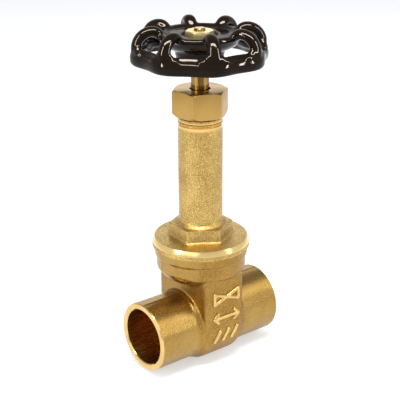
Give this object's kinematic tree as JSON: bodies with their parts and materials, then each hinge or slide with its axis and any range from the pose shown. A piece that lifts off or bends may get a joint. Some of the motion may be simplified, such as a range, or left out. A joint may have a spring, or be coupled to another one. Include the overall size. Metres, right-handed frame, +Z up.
{
  "type": "gate valve",
  "caption": "Brass gate valve for soldered copper tube: a wedge gate on a rising stem, a long screwed bonnet, packing nut and an open cast handwheel.",
  "frame": {"origin": "on the foot of the body, straight below the crossing of the stem axis and the pipe axis", "axes": "+X along the pipe axis, +Z up the stem; -Y is the side with the cast relief"},
  "size_m": [0.058, 0.0502, 0.1341],
  "materials": {
    "cast_brass": "sand-cast, tumbled, with machined rims",
    "turned_brass": "turned and milled, fine tool marks",
    "gate_brass": "cast with machined faces",
    "nut_brass": "bright",
    "wheel_enamel": "thick glossy black-brown enamel on a casting",
    "fibre": "pressed fibre",
    "packing": "graphite-filled braid"
  },
  "bodies": {
    "housing": {"valve_body": "cast_brass", "bonnet": "cast_brass", "bonnet_gasket": "fibre", "packing_washer": "turned_brass", "packing_ring_1": "packing", "packing_ring_2": "packing", "packing_ring_3": "packing", "packing_ring_4": "packing", "packing_gland": "turned_brass", "packing_nut": "turned_brass"},
    "gate": {"wedge_gate": "gate_brass"},
    "spindle": {"stem": "turned_brass", "handwheel": "wheel_enamel", "wheel_nut": "nut_brass"}
  },
  "joints": [
    {"name": "gate_lift", "type": "slide", "parent": "housing", "child": "gate", "axis": [0, 0, 1], "range_m": [0, 0.021]},
    {"name": "handwheel_turn", "type": "hinge", "parent": "gate", "child": "spindle", "pos_m": [0, 0, 0.0148], "axis": [0, 0, 1], "range_deg": [0, 2520.5]}
  ],
  "couplings": [
    {"joint": "handwheel_turn", "follows": "gate_lift", "rad_per_m": 2094.4}
  ]
}
